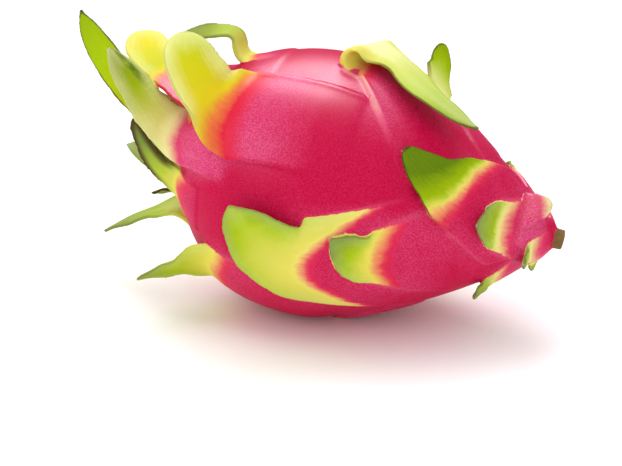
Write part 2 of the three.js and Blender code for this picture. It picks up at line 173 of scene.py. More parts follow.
# scales with values of their own
OWN = {
    "stem_tip_0": dict(turn=43, station=12, reach=11.5, width=19.5, out=140, curl=42, lean=-18,
        sway=12, twist=42, strap=0.65, blunt=1.5, point=0.5, cup=0.2, cup_end=-0.9, yellow=11,
        green=18, warm=0.1, flush=1.3, pale=0.1),
    "stem_0": dict(turn=-60, station=22, reach=9, out=38, curl=0),
    "low_0": dict(turn=54, station=31.5, reach=26, width=29, flare=1.1, out=36, curl=-17, lean=-12,
        sway=-24, twist=9, strap=0.7, neck=0.7, blunt=1.5, point=0.5, cup=0.65, cup_end=0.75,
        yellow=2.5, green=25, change=9, lead=0, slant=-6.5, unripe=0.4, warm=0.75, flush=0.1,
        fringe=0, dry=0.85, rim=0.7),
    "low_1": dict(turn=100, station=54.5, reach=17, width=20, flare=1.2, out=24, curl=4, lean=-36,
        twist=0, blunt=1.5, cup=-0.25),
    "low_3": dict(turn=-27, station=51, reach=23.5, width=20, flare=1, out=70, curl=16, lean=-51,
        sway=73, twist=-45, strap=0.56, neck=0.8, blunt=3.3, point=0.45, cup=-0.5, cup_end=-1,
        yellow=-2, green=36, warm=0.1, pale=0, fringe=0, dry=0.7),
    "belly_0": dict(turn=-3, station=74, reach=55, width=28, flare=3, rise=1.4, out=20, curl=10,
        folds=((0.075, 0.075, 176),), skew=14, lean=47, sway=-59, twist=6.5, strap=0.52, neck=0.4,
        blunt=6, point=1.1, cup=-1.2, cup_end=-1.5, thick=2, yellow=2, green=72, lead=1, pale=0.95,
        dry=0.75, ridges=(0.9, 0.4), ridge_from=-0.5),
    "belly_1": dict(turn=106, station=74.5, reach=34, width=35, flare=0.55, out=6, curl=-10,
        lean=-42, sway=-10, twist=0, strap=0.88, blunt=2.6, point=0.7, yellow=2.5, green=58,
        change=10, lead=21, warm=0.7, flush=0.2),
    "belly_2": dict(turn=190, station=76, reach=20, out=-2, curl=0, lean=0),
    "shoulder_0": dict(turn=46, station=106.5, reach=36, width=33.5, flare=0, out=62, curl=-64,
        lean=-18, sway=-62, twist=4, strap=0.7, neck=0.4, blunt=2.7, point=0.46, cup=-0.5,
        cup_end=-0.85, yellow=8, green=110, change=21, lead=5, slant=-2.2, warm=1, flush=0.68,
        fringe=0.62, dry=0.25, ridges=(0, 0.8), ridge_from=-0.5),
    "shoulder_1": dict(turn=140, reach=30, out=15),
    "shoulder_3": dict(turn=4.5, station=112, reach=33, width=9, pad=9, flare=0.5, out=131,
        curl=-6, folds=((0.35, 0.21, -141),), lean=7, sway=32, twist=-82, strap=0.52, neck=0.4,
        blunt=8, cup=-0.5, cup_end=-1, yellow=2, change=10, pale=0, fringe=0.25, ridges=(0, 0)),
    "crown_0": dict(turn=20, station=119, reach=59, width=32, out=4, curl=-26, lean=-21, sway=-53,
        twist=14, strap=0.55, neck=0.4, blunt=8, point=0.45, cup=-0.5, cup_end=-0.43, yellow=27,
        green=-70, change=13, unripe=0.28, warm=1, flush=0, pale=0, fringe=0.45, dry=0.15,
        ridges=(0, 0)),
    "crown_1": dict(turn=56, station=124.5, reach=45, width=24.5, out=22, curl=17, lean=-36, sway=2,
        twist=45, strap=0.66, neck=0.31, blunt=8, point=0.6, cup=0.9, cup_end=0.45, yellow=11,
        green=62, slant=1.5, unripe=0.15, warm=0.2, flush=1.1, pale=1.3, fringe=0.6,
        stain=1, dry=0.1),
    "heart_0": dict(turn=50, station=124.5, reach=70, width=21, out=16, curl=-18, lean=-28,
        sway=-22, twist=-19, strap=0.53, neck=0.4, blunt=8, point=1, cup=0.7, cup_end=0.25,
        yellow=4, green=105, warm=1, pale=0, fringe=0, dry=0.9, rim=0.6),
    "heart_1": dict(turn=101, station=127, reach=32, width=12, out=-2, curl=5, lean=-43, sway=-37,
        twist=3, strap=0.8, blunt=1.5, point=0.45, cup=0.7, cup_end=0.7, dry=0.9, rim=2.2),
}

# what each point of the rind carries, with its value away from any scale
PLACE = dict(run=-60.0, along=-1.0, across=0.0, edge=20.0, inner=0.0)
PER_SCALE = dict(
    tone=0.5, yellow=0.0, green=30.0, change=12.0, lead=0.0, slant=0.0, unripe=0.0, warm=1.0,
    flush=0.0, pale=0.5, fringe=0.0, stain=0.0, dry=0.5, rim=0.5)
GROWTH = {**PLACE, **PER_SCALE}
# what its colours follow; the last three come from the pads' margins
SHOWN = (*(name for name in GROWTH if name != "flush"), "gap", "crest", "rosy")
BLEND_ROUNDS = 3  # how often what neighbours carry is evened out
RIDGE_FULL = -0.2  # where along a pad its margins are fully raised
ROSY_SHEEN_RUN = (-34, -6)  # where a pad turns pinker, partly bloom and partly painted sheen, in millimetres before its blade
CREST_SHEEN, CREST_SHEEN_REACH = 0.6, 5.5  # a frosted band along raised margins, partly bloom and partly painted highlight: its strength, and how far it reaches
ROSY_SHEEN_ROUNDS = 40

# ---- the rind's mesh ----

EVENED = dict(factor=0.5, iterations=4)
UNDER_HALF, UNDER_DEPTH = 1, 0.1  # the block that cuts the flat spot, in metres

# ---- the rind's colours ----
# a change takes place between its first two numbers, and goes from 0 to 1 or between the others

NOISES = dict(  # cells per metre, detail and roughness
    broad=(30.0, 2.0, 0.5), mottle=(170.0, 4.0, 0.6),
    fine=(1500.0, 2.0, 0.6), grain=(2100.0, 1.0, 0.5))
STREAKS = (2.2, 3.0, 0.5)
STREAKS_ACROSS, STREAKS_ALONG = 9.0, 0.03
SCALES_APART = (40.0, 7.0)  # so that each scale has its own streaks

# the skin
PATCHES = (0.45, 0.75)  # of the broad noise
SPECKLES = (0.38, 0.64)  # of the grain
# the skin's pink bloom: partly its real waxy bloom, partly a painted frosted sheen
BLOOM_AND_SHEEN, BLOOM_AND_SHEEN_LESS = dict(rosy=0.85, patches=0.12, mottled=0.2), 0.12
SPECKLED, BLOOM_AND_SHEEN_SPECKLED = 0.22, 0.4

# the run of colours along a scale
UNEVEN = dict(mottled=3.0, streaked=1.2)  # how far it wanders, in millimetres
CHANGE = ((0.0, "scarlet"), (0.26, "scarlet"), (0.45, "amber"), (0.64, "lemon"))
RIPENING = ((0.0, "lemon"), (0.45, "lime"), (0.95, "leaf"))
BLUSH = (0.1, 0.62)  # from rose to cream, on scales that aren't warm
PALE_START = (0.1, 0.55, 0.7, 0.0)  # on the same scales
TO_BLADE = (0.5, 0.95)
OFF_SKIN = (-0.15, 0.25)

# the inner side, the pale fringe, the stain and the veins
INNER_ACROSS = (0.35, 0.85, 1.0, 0.0)
INNER_ALONG = (8.0, 26.0, 0.9, 0.3)  # millimetres from the root
INNER_CHANGE = (0.3, 0.7)
FRINGE = (0.3, 7.5, 1.0, 0.0)  # millimetres from the edge
FRINGE_UNEVEN = dict(mottled=3.0, streaked=5.0)
FRINGE_CHANGE, FRINGED = (0.5, 1.0), 0.8
STAIN_MIDDLE, STAIN_ACROSS = 0.5, (0.05, 0.4, 1.0, 0.0)
STAIN_ALONG = (0.5, 0.75)
STAIN_MOTTLE = (0.25, 0.6)
VEIN, VEIN_ALONG, VEINED = (0.35, 0.65), (0.0, 0.3), 0.08

# the margins and the cut stem
RIDGE, RIDGE_UNEVEN = (0.2, 1.7, 1.0, 0.0), 0.8  # millimetres from the margin
RIDGE_CREAM = (0.75, 1.0, 0.0, 0.6)
RIDGE_CHANGE = (0.2, 0.6, 0.65, 0.0)
WORN, WORN_UNEVEN = (0.4, 1.5), 0.7  # as shares of a scale's rim
WORN_ALONG = (0.10, 0.4)
CUT_MARK = 2.0  # what the cut stem carries as its inner side
CUT = (1.5, 1.9)

# how it takes the light
GLOSSY_SKIN = (0.1, 0.7, 1.0, 0.0)
BLADE_GLOSS, SKIN_GLOSS = 0.06, 0.4
ROUGHER = dict(mottled=0.12, worn=0.3, cut=0.3)
BUMP = {"Strength": 0.22, "Distance": 0.0004}
HEIGHTS = dict(fine=0.35, mottle=0.2, speckle=0.6, vein=0.5)
FLESH = {
    "Coat IOR": 1.25, "Specular IOR Level": 0.0, "Subsurface Weight": 0.1,
    "Subsurface Radius": (1.0, 0.35, 0.25), "Subsurface Scale": 0.002}

# ---- the studio, in metres ----

FLOOR_HALF = 6.0
FLOOR_FINISH = {"Roughness": 0.55, "Specular IOR Level": 0.3}
FRUIT_MIDDLE = (0, 0, 0.04)
LIGHTS = {
    "key": dict(power="key_power", size=0.9, place=(-0.35, 0.10, 0.85)),
    "fill": dict(power="fill_power", size=1.0, place=(0.35, -0.95, 0.55)),
    "sheen_above": dict(power="sheen_power", share=0.8, size=0.4, place=(0.03, 0.27, 0.96)),
    "sheen_back": dict(power="sheen_power", size=0.6, place=(-0.2, 0.45, 0.87)),
    "sheen_left": dict(power="sheen_power", share=0.15, size=0.5, place=(-0.5, -0.7, 0.55)),
}
NEAREST_SEEN = 0.01


class FruitShape(bpy.types.PropertyGroup):
    """The fruit's driving sizes."""

    length: FloatProperty(
        name="Body length", description="From the stem end to the crown end",
        default=0.134, min=0.05, max=0.3, unit="LENGTH")
    radius: FloatProperty(
        name="Body radius", description="At its widest ring",
        default=0.046, min=0.02, max=0.1, unit="LENGTH")
    widest: FloatProperty(
        name="Widest ring", description="How far from the stem end the body is widest",
        default=0.082, min=0.02, max=0.2, unit="LENGTH")
    tilt: FloatProperty(
        name="Tilt", description="How far the crown end is raised",
        default=math.radians(7.5), min=0, max=0.5, subtype="ANGLE")
    grain: FloatProperty(
        name="Grain", description="Size of the cells in which the skins are fused",
        default=0.0005, min=0.0003, max=0.002, unit="LENGTH", precision=4)
    triangles: IntProperty(
        name="Triangles", description="How many triangles the rind keeps",
        default=185000, min=20000, max=199000)


def colour(name, description, default):
    """A colour property."""
    return FloatVectorProperty(
        name=name, description=description, default=default, min=0, max=1, size=3, subtype="COLOR")


class RindFinish(bpy.types.PropertyGroup):
    """The rind's colours, in the order in which they follow each other along a scale."""

    crimson: colour("Crimson", "The skin where it is ripest", (0.54, 0.0, 0.044))
    # rose and the speckles' colour tint the waxy bloom, and with it a painted frosted sheen
    rose: colour("Rose", "The skin's paler bloom", (0.69, 0.045, 0.18))
    bloom_and_sheen: colour("Bloom", "The fine speckles of the skin", (0.90, 0.28, 0.50))
    scarlet: colour("Scarlet", "Where the skin nears the yellow of a blade", (0.72, 0.012, 0.045))
    amber: colour("Amber", "The first of the yellow", (0.80, 0.22, 0.05))
    lemon: colour("Lemon", "The yellow of a blade", (0.76, 0.64, 0.018))
    lime: colour("Lime", "The middle of a blade", (0.36, 0.52, 0.003))
    leaf: colour("Leaf green", "Its tip", (0.10, 0.20, 0.006))
    cream: colour("Cream", "The pale inner side of a blade", (0.86, 0.90, 0.46))
    ridge: colour("Ridge", "The raised margins of the pads", (0.90, 0.21, 0.31))
    husk: colour("Husk", "Dried margins and the cut stem", (0.07, 0.035, 0.012))
    fibre: colour("Fibre", "The paler fibres of the cut stem", (0.32, 0.20, 0.08))
    roughness: FloatProperty(
        name="Roughness", description="Of the flesh under the skin", default=0.5, min=0.05, max=1)
    gloss_roughness: FloatProperty(
        name="Gloss roughness", description="Of the waxy skin", default=0.38, min=0.05, max=1)


class Studio(bpy.types.PropertyGroup):
    """The stage, its lights and the camera."""

    floor: colour("Floor", "The floor's colour", (0.97, 0.97, 0.97))
    key_power: FloatProperty(
        name="Key light", description="Power of the large light over the fruit",
        default=3.9, min=0, unit="POWER")
    fill_power: FloatProperty(
        name="Fill light", description="Power of the light from the front",
        default=1.1, min=0, unit="POWER")
    sheen_power: FloatProperty(
        name="Sheen", description="Power of the panels that only show as a soft sheen",
        default=40.0, min=0, unit="POWER")
    sheen_tint: colour("Sheen colour", "The colour of those panels", (1.0, 0.88, 1.0))
    sky: FloatProperty(
        name="Sky", description="Brightness of the white surroundings", default=0.95, min=0)
    azimuth: FloatProperty(
        name="Azimuth", description="Its turn round the fruit, from the front to the right",
        default=math.radians(19), subtype="ANGLE")
    elevation: FloatProperty(
        name="Elevation", description="Its height above the horizon",
        default=math.radians(20), subtype="ANGLE")
    distance: FloatProperty(
        name="Distance", description="From the camera to the point that it looks at",
        default=0.6, min=0.1, unit="LENGTH")
    aim: FloatVectorProperty(
        name="Aim", description="The point that the camera looks at",
        default=(0.0007, -0.0075, 0.0285), size=3, subtype="XYZ", unit="LENGTH")
    lens: FloatProperty(
        name="Lens", description="Focal length, in millimetres", default=100, min=20, max=300)


# ---- growing ----


def smooth(low, high, x):
    """0 below low, 1 above high, and an even rise between them."""
    t = np.clip((np.asarray(x, float) - low) / (high - low), 0, 1)
    return t * t * (3 - 2 * t)


def draw(key):
    """A number from 0 to 1 that is always the same for the same key."""
    x = math.sin(key) * SCATTER
    return x - math.floor(x)


class Body:
    """The plump body and its own frame: an axis toward the crown, up, and front."""

    def __init__(self, shape):
        self.length = shape.length / MM
        self.radius = shape.radius / MM
        self.widest = shape.widest / MM
        self.axis = np.array([-math.cos(shape.tilt), 0, math.sin(shape.tilt)])
        self.up = np.array([math.sin(shape.tilt), 0, math.cos(shape.tilt)])
        self.front = np.array([0, -1.0, 0])
        stations = np.arange(self.length)
        low = self.ring(stations) * self.up[2] - (stations - OVER_ORIGIN[0]) * self.axis[2]
        self.centre = np.array([0, -OVER_ORIGIN[1], low.max() - SINK])

    def ring(self, station):
        """The body's radius at a station."""
        s = np.clip(np.asarray(station, float) / self.widest, 0, 1)
        t = np.clip((station - self.widest) / (self.length - self.widest), 0, 1)
        stem = (1 - (1 - s) ** STEM_TAPER[0]) ** STEM_TAPER[1]
        crown = (1 - t ** CROWN_ROUND[0]) ** CROWN_ROUND[1]
        return self.radius * np.where(station < self.widest, stem, crown)

    def slope(self, station):
        """Rise of the outline per millimetre along the axis."""
        x = np.clip(station, 1, self.length - 1)
        return (self.ring(x + SLOPE_STEP) - self.ring(x - SLOPE_STEP)) / (2 * SLOPE_STEP)

    def outward(self, turn):
        """Outward from the axis, at an angle from the top to the front."""
        turn = np.asarray(turn, float)[..., None]
        return np.cos(turn) * self.up + np.sin(turn) * self.front

    def at(self, station, turn, radius):
        """The point at a station, a turn and a distance from the axis."""
        along = np.asarray(station - OVER_ORIGIN[0], float)[..., None] * self.axis
        return self.centre + along + self.outward(turn) * np.asarray(radius, float)[..., None]

    def over_skin(self, station, turn, height):
        """A point that stands off the skin by a height along its normal."""
        slope = self.slope(station)
        unit = 1 / np.hypot(1, slope)
        return self.at(station - height * slope * unit, turn, self.ring(station) + height * unit)


def all_scales():
    """Every scale of every whorl, with the small differences that growing gives them."""
    by = DIFFERENCES
    scales = []
    for w, whorl in enumerate({**USUAL, **own} for own in WHORLS):
        for k in range(whorl["count"]):
            key = 10 * w + k + 1
            even_turn = whorl["first"] + 360 * k / whorl["count"]
            settled = min(1, whorl["pad"] / FULL_PAD)
            scales.append({
                **whorl,
                "turn": even_turn + by["turn"] * (draw(key) - 0.5),
                "station": whorl["station"] + by["station"] * (draw(key + 0.1) - 0.5) * settled,
                "reach": whorl["reach"] * (1 - by["reach"] / 2 + by["reach"] * draw(key + 0.2)),
                "phase": 2 * math.pi * draw(key + 0.3),
                "twist": by["twist"] * (draw(key + 0.4) - 0.5),
                "lean": by["lean"] * (draw(key + 0.5) - 0.5),
                "tone": draw(key + 0.6),
                **OWN.get(f"{whorl['name']}_{k}", {}),
            })
    return scales


def closed_skin(outer, inner):
    """The points and quads of the closed skin over two grids of the same shape."""
    rows, columns = outer.shape[:2]
    at = np.arange(rows * columns).reshape(rows, columns)
    far = rows * columns
    a, b, c, d = at[:-1, :-1], at[1:, :-1], at[1:, 1:], at[:-1, 1:]
    near_faces = np.stack([a, b, c, d], -1).reshape(-1, 4)
    far_faces = np.stack([d, c, b, a], -1).reshape(-1, 4) + far
    rim = np.concatenate([at[:, 0], at[-1, 1:], at[-2::-1, -1], at[0, -2:0:-1]])
    after = np.roll(rim, -1)
    rim_faces = np.stack([after, rim, rim + far, after + far], -1)
    points = np.concatenate([outer.reshape(-1, 3), inner.reshape(-1, 3)])
    return points, np.concatenate([near_faces, far_faces, rim_faces])


def grow_pad(body, scale, v):
    """A pad's rows, from its root to its blade, with points at the places v across it.

    Each has its outer and its inner points, how far along the scale it lies, as a share and in
    millimetres, and half its width.
    """
    pad = min(scale["pad"], scale["station"] - STEM_CLEAR)
    turn = math.radians(scale["turn"])
    rows = []
    for i in range(PAD_ROWS + 1):
        u = i / PAD_ROWS
        station = scale["station"] - pad * (1 - u)
        half = scale["width"] / 2 * (1 + scale["flare"] * (1 - u))
        angle = min(half / max(float(body.ring(station)), LEAST_RING), WIDEST_PAD)
        grown = smooth(0, RISEN, u)
        full = grown * scale["rise"] * (ROOT_RISE + (1 - ROOT_RISE) * u)
        lip = LIP_HEIGHT * grown * np.exp(-(((np.abs(v) - LIP_PLACE) / LIP_WIDTH) ** 2))
        height = full * (1 - EDGE_DROP * v ** 2) + lip - ROOT_SINK * (1 - grown)
        stations = np.full_like(v, station)
        outer = body.over_skin(stations, turn + v * angle, height)
        inner = body.over_skin(stations, turn + v * angle * UNDERSIDE, np.full_like(v, -BURIED))
        rows.append((outer, inner, u - 1, (u - 1) * pad, half))
    return rows


def blade_course(scale, start):
    """Where a blade heads at fine steps along it, and at which of them its rows lie."""
    t = np.arange(1, FINE_STEPS + 1) / FINE_STEPS
    settled = smooth(0, SETTLED, t)
    bend = (math.degrees(start) * (1 - settled)
            + scale["out"] * settled + scale["curl"] * t ** CURL_POWER)
    for middle, half, degrees in scale["folds"]:
        bend = bend + degrees * smooth(middle - half, middle + half, t)
    turning = np.abs(np.diff(bend, prepend=math.degrees(start)))
    cost = np.cumsum(1 / FINE_STEPS + turning / TURN_COST)
    shares = np.arange(1, BLADE_ROWS + 1) / BLADE_ROWS
    bend = np.radians(bend)
    leaning = scale["lean"] * smooth(0, LEAN_SETTLED, t) + scale["sway"] * t ** 2
    lean = math.radians(scale["skew"]) * np.cos(bend) + np.radians(leaning)
    return t, bend, lean, np.searchsorted(cost, cost[-1] * shares - ROUNDING)


def blade_section(scale, s, v, across, off):
    """A blade's section at a share of its length: its width, and its points across and off it."""
    tip = max((1 - s ** scale["blunt"]) ** scale["point"], TIP_WIDTH)
    width = tip * (scale["strap"] + (1 - scale["strap"]) * (1 - smooth(0, scale["neck"], s)))
    cup = 1 + (scale["cup"] - 1) * smooth(0, CUPPED, s)
    cup += (scale["cup_end"] - scale["cup"]) * smooth(0, CUP_ENDS, s)
    wave = scale["wave"] * smooth(*WAVE_GROWS, s) * (1 - WAVE_FADES * s)
    phase = scale["phase"]
    ripple = 2 * math.pi * scale["waves"] * s + phase + np.where(v > 0, WAVE_SHIFT, 0)
    (deep, few), (shallow, many) = NICKS
    nick = deep * np.sin(few * ripple) + shallow * np.sin(many * ripple + phase)
    x = across * width + np.sign(v) * v ** NICK_POWER * nick * smooth(*NICKED, s) * (1 - s)
    y = off * width ** 2 * cup + wave * v ** 2 * np.sin(ripple)
    return width, x, y


def grow_blade(body, scale, v, root):
    """A blade's rows, laid out as a pad's, from the pad's last outer points to its tip."""
    turn = math.radians(scale["turn"])
    radial = body.outward(turn)
    side = body.outward(turn + math.pi / 2)
    start = math.atan(body.slope(scale["station"]))
    ahead = math.cos(start) * body.axis + math.sin(start) * radial
    normal = -math.sin(start) * body.axis + math.cos(start) * radial
    spine = body.over_skin(scale["station"], turn, scale["rise"])
    section = root - spine
    across, off, on = section @ side, section @ normal, section @ ahead

    t, bend, lean, chosen = blade_course(scale, start)
    skew = math.radians(scale["skew"])
    cos_b, sin_b, cos_l, sin_l = (f(x)[:, None] for x in (bend, lean) for f in (np.cos, np.sin))
    outright = math.cos(skew) * body.axis - math.sin(skew) * side
    crease = math.cos(skew) * side + math.sin(skew) * body.axis
    forward = cos_b * outright + sin_b * radial
    away = -sin_b * outright + cos_b * radial
    tangent = cos_l * forward + sin_l * crease
    level = -sin_l * forward + cos_l * crease
    spine = spine + np.cumsum(tangent, 0) * scale["reach"] / FINE_STEPS

    rows = []
    for k in chosen:
        s = t[k]
        twist = math.radians(scale["twist"] * s)
        wide = math.cos(twist) * level[k] + math.sin(twist) * away[k]
        high = -math.sin(twist) * level[k] + math.cos(twist) * away[k]
        width, x, y = blade_section(scale, s, v, across, off)
        outer = spine[k] + np.outer(x, wide) + np.outer(y, high)
        outer = outer + np.outer(on, tangent[k]) * (1 - s) ** 2
        step, climb = np.gradient(x), np.gradient(y)
        firm = BURIED * (1 - smooth(0, FIRM_ROOT, s))
        depth = scale["thick"] + (scale["thin"] - scale["thick"]) * s
        unit = (depth * (1 - THIN_EDGE * np.abs(v) ** 3) + firm) / np.hypot(step, climb)
        inner = outer + np.outer(climb * unit, wide) - np.outer(step * unit, high)
        rows.append((outer, inner, s, s * scale["reach"], abs(across[-1]) * width))
    return rows


def grow_scale(body, scale):
    """One scale's closed skin: its points, its quads and what its points carry."""
    v = np.linspace(-1, 1, CELLS + 1)
    rows = grow_pad(body, scale, v)
    rows += grow_blade(body, scale, v, rows[-1][0])
    outer, inner, *lengths = zip(*rows)
    along, run, halves = (np.array(x, float)[:, None] for x in lengths)
    margin = (1 - np.abs(v)) * halves
    to_tip = np.maximum(1 - along, 0) * scale["reach"] * TIP_LENGTH
    carried = dict(
        run=np.broadcast_to(run, margin.shape),
        along=np.broadcast_to(along, margin.shape),
        across=np.broadcast_to(v, margin.shape),
        edge=np.minimum(margin, to_tip),
    )
    points, quads = closed_skin(np.array(outer), np.array(inner))
    growth = {name: np.tile(value.ravel(), 2) for name, value in carried.items()}
    growth["inner"] = np.repeat([0.0, 1.0], margin.size)
    for name in PER_SCALE:
        growth[name] = np.full(len(points), float(scale[name]))
    return points, quads, growth


def turned(body, profile, segments):
    """The closed skin that a profile of (radius, station) points makes round the axis."""
    radius, station = np.array(profile, float).T
    turns = np.arange(segments) * 2 * math.pi / segments
    rings = body.at(
        np.repeat(station[1:-1, None], segments, 1), turns[None, :],
        np.repeat(radius[1:-1, None], segments, 1))
    ends = body.at(station[[0, -1]], np.zeros(2), np.zeros(2))
    points = np.concatenate([rings.reshape(-1, 3), ends])
    at = np.arange(rings.shape[0] * segments).reshape(-1, segments)
    after = np.roll(at, -1, 1)
    walls = np.stack([at[:-1], after[:-1], after[1:], at[1:]], -1).reshape(-1, 4)
    first, last = len(points) - 2, len(points) - 1
    cap_a = [(first, b, a) for a, b in zip(at[0], after[0])]
    cap_b = [(last, a, b) for a, b in zip(at[-1], after[-1])]
    return points, [tuple(q) for q in walls] + cap_a + cap_b


def body_profile(body):
    """The body's outline from the stem end over the crown and into the navel."""
    shares = np.pi * np.arange(BODY_RINGS + 1) / BODY_RINGS
    stations = NAVEL_STATION / 2 * (1 - np.cos(shares))
    profile = [(float(body.ring(s)), s) for s in stations]
    profile[0] = (0, 0)
    rim = float(body.ring(NAVEL_STATION))
    for x in np.linspace(NAVEL_LIP, 0, NAVEL_RINGS):
        profile.append((rim * x, NAVEL_STATION - NAVEL_DEPTH * (1 - x * x)))
    return profile


def pad_margins(scale, points, growth):
    """Points close together along both margins of a pad, and how strongly each is raised."""
    columns = CELLS + 1
    rows = len(points) // 2 // columns
    grid = points[:rows * columns].reshape(rows, columns, 3)
    along = growth["along"][:rows * columns].reshape(rows, columns)[:, 0]
    chosen = (along >= -1) & (along <= MARGIN_END)
    along = along[chosen]
    fine = np.linspace(along[0], along[-1], MARGIN_POINTS)
    lines = [
        np.stack([np.interp(fine, along, line[:, k]) for k in range(3)], 1)
        for line in (grid[chosen, -1], grid[chosen, 0])]
    raised = smooth(scale["ridge_from"], RIDGE_FULL, fine)
    return np.concatenate(lines), np.concatenate([raised * share for share in scale["ridges"]])


def grown_parts(body):
    """All the closed skins together: points, faces and what the points carry."""
    points, faces, growth = [], [], {name: [] for name in GROWTH}
    margins = []
    count = 0

    def gather(new_points, new_faces, carried):
        """Adds a skin to the others."""
        nonlocal count
        points.append(new_points)
        faces.extend(tuple(int(i) + count for i in face) for face in new_faces)
        for name, usual in GROWTH.items():
            growth[name].append(carried.get(name, np.full(len(new_points), usual)))
        count += len(new_points)

    skin, skin_faces = turned(body, body_profile(body), BODY_SEGMENTS)
    gather(skin, skin_faces, {})
    stub = [(0, -STUB_OUT), (STUB_RADIUS, -STUB_OUT), (STUB_RADIUS, STUB_IN), (0, STUB_IN)]
    stub_points, stub_faces = turned(body, stub, STUB_SEGMENTS)
    gather(stub_points, stub_faces, {"inner": np.full(len(stub_points), CUT_MARK)})
    for scale in all_scales():
        grown = grow_scale(body, scale)
        gather(*grown)
        margins.append(pad_margins(scale, grown[0], grown[2]))
    growth = {name: np.concatenate(values) for name, values in growth.items()}
    return np.concatenate(points), faces, growth, [np.concatenate(m) for m in zip(*margins)]


# ---- fusing ----


def mesh_object(name, points, faces):
    """A mesh object in the scene, from points in metres."""
    mesh = bpy.data.meshes.new(name)
    mesh.from_pydata(points.tolist(), [], faces)
    mesh.update()
    made = bpy.data.objects.new(name, mesh)
    bpy.context.scene.collection.objects.link(made)
    return made


def add_modifier(piece, kind, **settings):
    """Adds a modifier with its settings."""
    modifier = piece.modifiers.new(kind.title(), kind)
    for name, value in settings.items():
        setattr(modifier, name, value)


def apply_modifiers(piece):
    """Replaces a piece's mesh by what its modifiers make of it."""
    graph = bpy.context.evaluated_depsgraph_get()
    mesh = bpy.data.meshes.new_from_object(piece.evaluated_get(graph))
    piece.modifiers.clear()
    piece.data = mesh


def triangle_count(mesh):
    """How many triangles a mesh's faces make."""
    return sum(len(p.vertices) - 2 for p in mesh.polygons)


def fuse(piece, shape):
    """Fuses overlapping closed skins into one and presses it flat on the floor."""
    add_modifier(piece, "REMESH", mode="VOXEL", voxel_size=shape.grain)
    add_modifier(piece, "SMOOTH", **EVENED)
    apply_modifiers(piece)
    add_modifier(piece, "DECIMATE", ratio=shape.triangles / triangle_count(piece.data))
    ends = (-UNDER_HALF, UNDER_HALF)
    under = mesh_object(
        "under", np.array([(x, y, z) for x in ends for y in ends for z in (-UNDER_DEPTH, 0)]),
        [(0, 1, 3, 2), (4, 6, 7, 5), (0, 4, 5, 1), (2, 3, 7, 6), (0, 2, 6, 4), (1, 5, 7, 3)])
    add_modifier(piece, "BOOLEAN", operation="DIFFERENCE", solver="MANIFOLD", object=under)
    add_modifier(piece, "TRIANGULATE")
    apply_modifiers(piece)
    bpy.data.objects.remove(under)
    drop_specks(piece)


def edge_ends(mesh):
    """The points at the one and at the other end of every edge."""
    ends = np.empty(2 * len(mesh.edges), np.int32)
    mesh.edges.foreach_get("vertices", ends)
    return ends[::2], ends[1::2]


def drop_specks(piece):
    """Deletes the specks that fusing leaves loose beside the whole skin."""
    mesh = piece.data
    one, other = edge_ends(mesh)
    label, before = np.arange(len(mesh.vertices)), None
    while before is None or (label != before).any():
        before = label.copy()
        lower = np.minimum(label[one], label[other])
        np.minimum.at(label, one, lower)
        np.minimum.at(label, other, lower)
        label = label[label]
    whole = np.bincount(label).argmax()
    shell = bmesh.new()
    shell.from_mesh(mesh)
    loose = [vertex for vertex in shell.verts if label[vertex.index] != whole]
    bmesh.ops.delete(shell, geom=loose, context="VERTS")
    shell.to_mesh(mesh)
    shell.free()


def fit_to_solid(piece):
    """Draws the mesh in where it would stand out of the solid's own box."""
    mesh = piece.data
    points = np.zeros(len(mesh.vertices) * 3)
    mesh.vertices.foreach_get("co", points)
    points = points.reshape(-1, 3)
    low, high = points.min(0), points.max(0)
    new_low = np.maximum(low, np.array(CAD_LOW))
    new_high = np.minimum(high, np.array(CAD_HIGH))
    points = new_low + (points - low) * (new_high - new_low) / (high - low)
    mesh.vertices.foreach_set("co", points.ravel())
    mesh.update()
    return points


def spread(piece, value, rounds):
    """Evens a value out over the skin, from each point to its neighbours."""
    one, other = edge_ends(piece.data)
    count = len(value)
    neighbours = np.bincount(one, minlength=count) + np.bincount(other, minlength=count)
    for _ in range(rounds):
        around = np.bincount(one, value[other], count) + np.bincount(other, value[one], count)
        value = 0.5 * value + 0.5 * around / neighbours
    return value


def carry_growth(piece, points, source, faces, growth, margins):
    """Gives each point what the nearest point of the skins carries, and its place by a margin."""
    triangles = []
    for face in faces:
        triangles.extend((face[0], face[i], face[i + 1]) for i in range(1, len(face) - 1))
    tree = BVHTree.FromPolygons(source.tolist(), triangles)
    found = [tree.find_nearest(p)[0:3:2] for p in points.tolist()]
    place = np.array([f[0] for f in found])
    corner = np.array(triangles)[[f[1] for f in found]]
    a, b, c = (source[corner[:, k]] for k in range(3))
    normal = np.cross(b - a, c - a)
    area = np.maximum((normal ** 2).sum(1), TINY)
    weight_b = (np.cross(place - a, c - a) * normal).sum(1) / area
    weight_c = (np.cross(b - a, place - a) * normal).sum(1) / area
    weights = np.clip(np.stack([1 - weight_b - weight_c, weight_b, weight_c], 1), 0, 1)
    weights /= weights.sum(1, keepdims=True)
    carried = {name: (value[corner] * weights).sum(1) for name, value in growth.items()}
    for name, value in carried.items():
        if name != "edge":
            carried[name] = spread(piece, value, BLEND_ROUNDS)

    line, raised = margins
    near = KDTree(len(line))
    for k, point in enumerate(line.tolist()):
        near.insert(point, k)
    near.balance()
    found = [near.find(p)[1:] for p in points.tolist()]
    gap = np.array([f[1] for f in found])
    crest = raised[[f[0] for f in found]]
    # pads turn pinker near their blades, partly their waxy bloom and partly painted sheen
    rosy = carried["flush"] * smooth(*ROSY_SHEEN_RUN, carried["run"])
    # raised margins get a frosted band, partly bloom and partly a painted highlight
    rosy = rosy + CREST_SHEEN * crest * np.exp(-gap / CREST_SHEEN_REACH)
    carried.update(gap=gap, crest=crest, rosy=spread(piece, np.minimum(rosy, 1), ROSY_SHEEN_ROUNDS))
    for name, value in carried.items():
        layer = piece.data.attributes.new(name, "FLOAT", "POINT")
        layer.data.foreach_set("value", value.astype(np.float32))


# ---- shading ----


